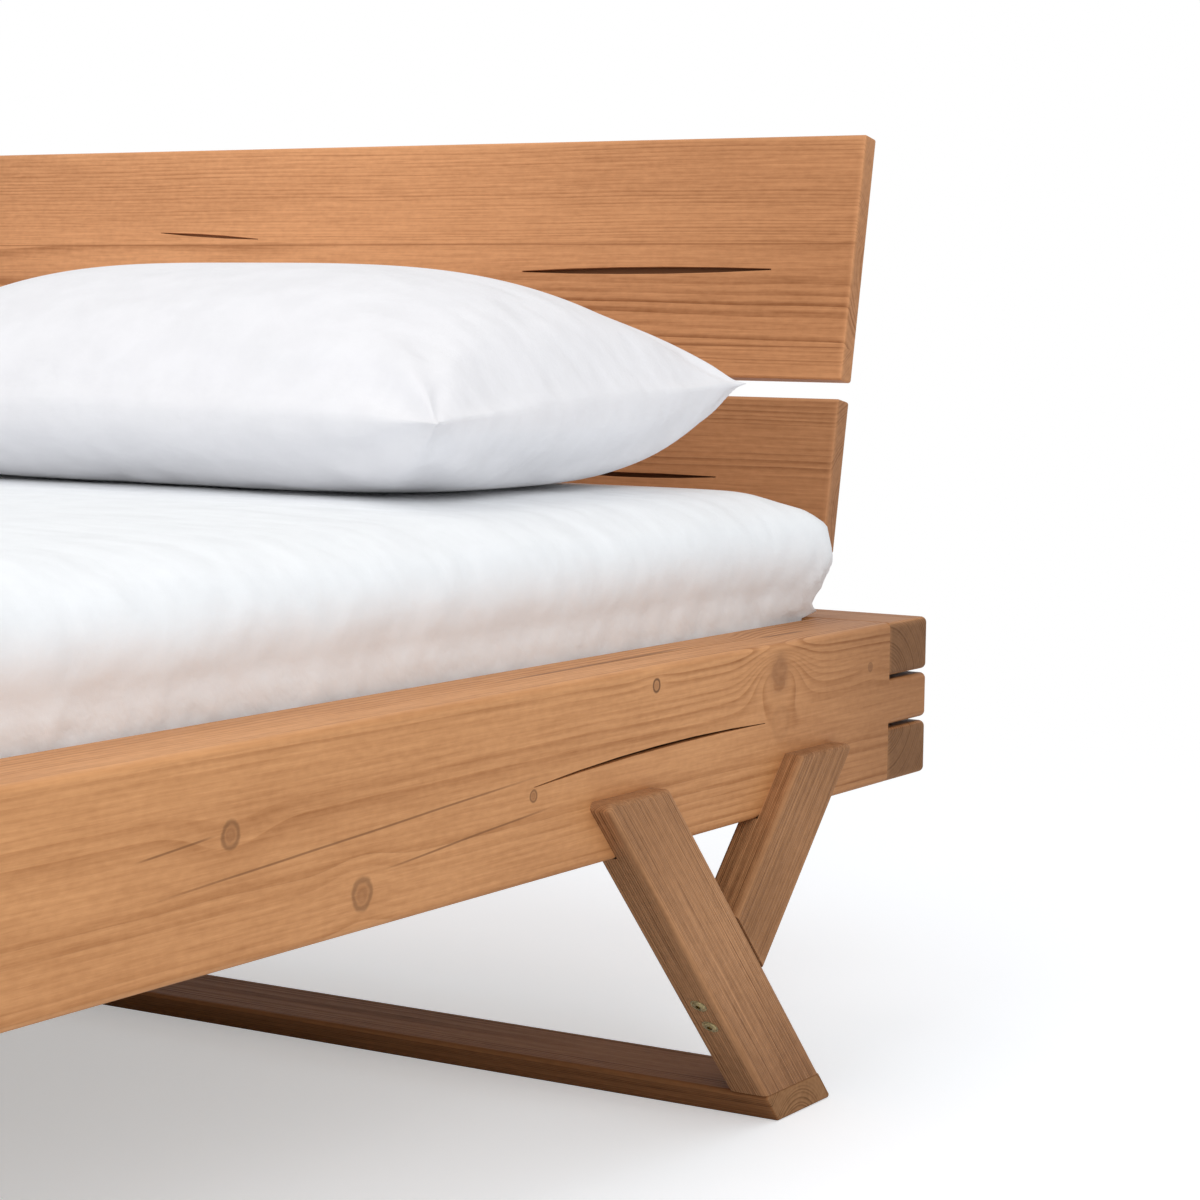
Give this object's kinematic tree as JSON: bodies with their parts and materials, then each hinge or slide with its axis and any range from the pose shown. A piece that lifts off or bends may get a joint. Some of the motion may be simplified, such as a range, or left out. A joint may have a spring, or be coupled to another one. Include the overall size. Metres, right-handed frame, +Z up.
{
  "type": "beam bed",
  "caption": "Double bed of heavy squared timber: finger-jointed beams on Y-shaped strut legs with floor skids, leaning plank headboard, slatted base, mattress and pillows.",
  "frame": {"origin": "on the floor, under the middle of the whole bed with its leaning headboard", "axes": "+Z up, +Y towards the head, +X towards the right side as seen from the foot"},
  "size_m": [2.026, 2.3012, 0.9395],
  "materials": {
    "beam_timber": "oiled spruce, honey brown",
    "leg_timber": "brushed and stained spruce",
    "headboard_timber": "oiled spruce, honey brown",
    "post_timber": "oiled spruce",
    "base_timber": "planed bare spruce",
    "yellow_zinc": "yellow passivated zinc",
    "fastener_steel": "bright zinc",
    "hanger_steel": "galvanised sheet",
    "sheet_cotton": "plain white cotton",
    "pillow_cotton": "plain white cotton"
  },
  "bodies": {
    "frame": {"centre_beam": "base_timber", "centre_beam_hanger_foot": "hanger_steel", "centre_beam_hanger_head": "hanger_steel", "centre_leg": "base_timber", "corner_pins": "fastener_steel", "foot_beam": "beam_timber", "foot_long_strut_left": "leg_timber", "foot_long_strut_right": "leg_timber", "foot_short_strut_left": "leg_timber", "foot_short_strut_right": "leg_timber", "foot_skid": "leg_timber", "hanger_screws": "fastener_steel", "head_beam": "beam_timber", "head_long_strut_left": "leg_timber", "head_long_strut_right": "leg_timber", "head_short_strut_left": "leg_timber", "head_short_strut_right": "leg_timber", "head_skid": "leg_timber", "headboard_lower_plank": "headboard_timber", "headboard_post_left": "post_timber", "headboard_post_right": "post_timber", "headboard_upper_plank": "headboard_timber", "ledger_left": "base_timber", "ledger_right": "base_timber", "ledger_screws": "fastener_steel", "leg_bolts": "fastener_steel", "plank_screws": "fastener_steel", "post_bolts": "fastener_steel", "post_nuts": "fastener_steel", "side_beam_left": "beam_timber", "side_beam_right": "beam_timber", "skid_screws": "fastener_steel", "slat_screws": "fastener_steel", "slats_left": "base_timber", "slats_right": "base_timber", "strut_screws": "yellow_zinc"},
    "mattress": {"mattress": "sheet_cotton"},
    "pillow_right": {"pillow_right": "pillow_cotton"},
    "pillow_left": {"pillow_left": "pillow_cotton"}
  },
  "joints": [
    {"name": "mattress_lift", "type": "slide", "parent": "frame", "child": "mattress", "axis": [0, 0, 1], "range_m": [0, 0.3]},
    {"name": "pillow_right_lift", "type": "slide", "parent": "mattress", "child": "pillow_right", "axis": [0, 0, 1], "range_m": [0, 0.25]},
    {"name": "pillow_left_lift", "type": "slide", "parent": "mattress", "child": "pillow_left", "axis": [0, 0, 1], "range_m": [0, 0.25]}
  ]
}
